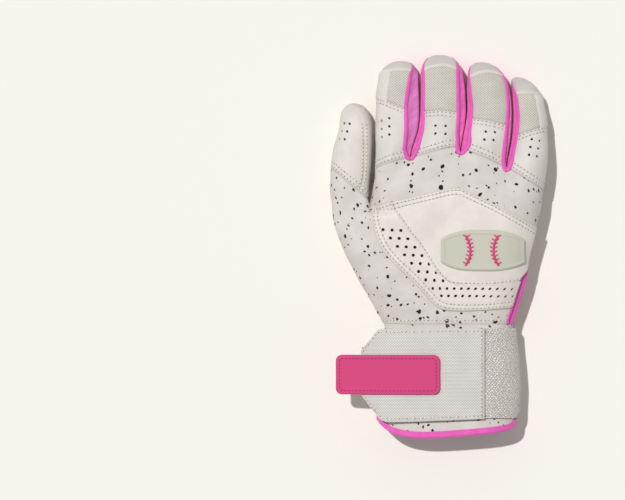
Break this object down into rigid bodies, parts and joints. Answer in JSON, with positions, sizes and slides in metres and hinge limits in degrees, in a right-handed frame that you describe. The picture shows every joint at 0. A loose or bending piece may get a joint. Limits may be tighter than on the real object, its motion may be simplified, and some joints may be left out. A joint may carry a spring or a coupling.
{
  "type": "batting glove",
  "caption": "Right-hand batting glove with leather palm, stretch back, finger gussets, vented knuckle panels and a pull-tab wrist strap; fingers, thumb and strap move.",
  "frame": {"origin": "middle of the footprint, on the surface that the glove lies on palm down", "axes": "+X to the little-finger side, +Y to the fingertips, +Z out of the back of the hand"},
  "size_m": [0.1334, 0.2366, 0.0419],
  "materials": {
    "leather": "soft matte white sheepskin",
    "patch": "smooth white leather",
    "foam": "thin white padding",
    "speckled_fabric": "white stretch fabric with dark specks",
    "mesh_fabric": "white textured stretch mesh",
    "pink_fabric": "bright pink stretch fabric",
    "badge_rubber": "moulded grey rubber",
    "tab_rubber": "moulded deep pink rubber",
    "woven": "white woven elastic",
    "pile": "white hook and loop pile"
  },
  "bodies": {
    "hand": {"palm_leather": "leather", "palm_patch": "patch", "palm_foam": "foam", "back_knit": "speckled_fabric", "thumb_knit": "speckled_fabric", "back_vent_band": "leather", "back_centre_panel": "leather", "back_badge": "badge_rubber", "wrist_gusset": "pink_fabric", "cuff": "speckled_fabric", "cuff_binding": "pink_fabric", "loop_panel": "pile", "wrist_band": "woven", "pull_loop": "pink_fabric"},
    "strap": {"strap_end": "woven", "hook_pad": "pile", "tab_front": "tab_rubber", "tab_back": "tab_rubber"},
    "thumb": {"thumb_front": "leather", "thumb_back": "leather"},
    "index_finger": {"index_front": "leather", "index_gusset": "pink_fabric", "index_knuckle_panel": "leather", "index_mesh": "mesh_fabric", "index_tip_cap": "leather"},
    "middle_finger": {"middle_front": "leather", "middle_gusset": "pink_fabric", "middle_knuckle_panel": "leather", "middle_mesh": "mesh_fabric", "middle_tip_cap": "leather"},
    "ring_finger": {"ring_front": "leather", "ring_gusset": "pink_fabric", "ring_knuckle_panel": "leather", "ring_mesh": "mesh_fabric", "ring_tip_cap": "leather"},
    "little_finger": {"little_front": "leather", "little_gusset": "pink_fabric", "little_knuckle_panel": "leather", "little_mesh": "mesh_fabric", "little_tip_cap": "leather"}
  },
  "joints": [
    {"name": "strap_peel", "type": "hinge", "parent": "hand", "child": "strap", "pos_m": [0.02762, -0.07756, 0.03902], "axis": [0, 1, 0], "range_deg": [0, 150]},
    {"name": "index_flex", "type": "hinge", "parent": "hand", "child": "index_finger", "pos_m": [-0.02838, 0.04994, 0.0096], "axis": [-1, 0, 0], "range_deg": [0, 75]},
    {"name": "middle_flex", "type": "hinge", "parent": "hand", "child": "middle_finger", "pos_m": [-0.00238, 0.05194, 0.0096], "axis": [-1, 0, 0], "range_deg": [0, 75]},
    {"name": "ring_flex", "type": "hinge", "parent": "hand", "child": "ring_finger", "pos_m": [0.02762, 0.04744, 0.0094], "axis": [-1, 0, 0], "range_deg": [0, 75]},
    {"name": "little_flex", "type": "hinge", "parent": "hand", "child": "little_finger", "pos_m": [0.05462, 0.04124, 0.0086], "axis": [-1, 0, 0], "range_deg": [0, 75]},
    {"name": "thumb_flex", "type": "hinge", "parent": "hand", "child": "thumb", "pos_m": [-0.05438, 0.02924, 0.0034], "axis": [-1, 0, 0], "range_deg": [0, 40]}
  ]
}
